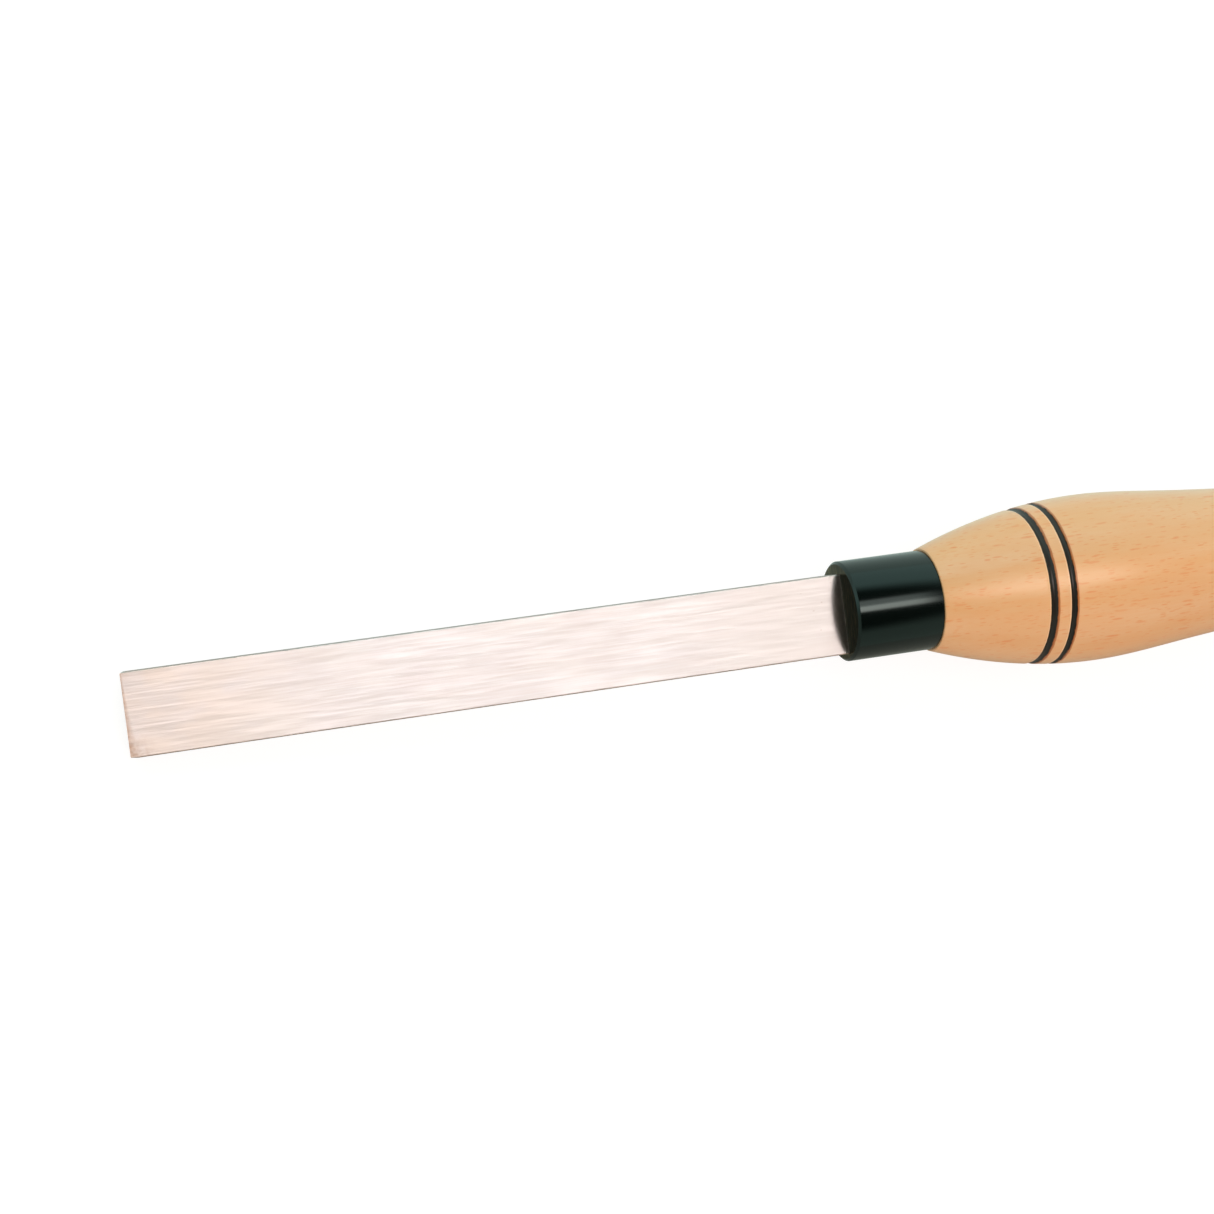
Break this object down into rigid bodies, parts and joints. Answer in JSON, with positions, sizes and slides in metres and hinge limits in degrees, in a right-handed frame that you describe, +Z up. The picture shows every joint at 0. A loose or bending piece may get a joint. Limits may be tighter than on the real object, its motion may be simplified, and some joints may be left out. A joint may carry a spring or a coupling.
{
  "type": "woodturning scraper",
  "caption": "Square-ended woodturning scraper: a flat ground steel blade in a black cap ferrule on a long turned wooden handle.",
  "frame": {"origin": "middle of the bounding box at the height of the surface that the tool lies on", "axes": "+X along the tool from the cutting end to the butt, +Y across the blade, +Z up from the surface it lies on"},
  "size_m": [0.4462, 0.0406, 0.0508],
  "materials": {
    "blade_steel": "ground and linished along its length",
    "ferrule_black": "turned and anodised black, glossy",
    "handle_beech": "turned beech under clear lacquer, with scorched lines"
  },
  "bodies": {
    "root": {"blade": "blade_steel", "ferrule": "ferrule_black", "handle": "handle_beech"}
  },
  "joints": []
}
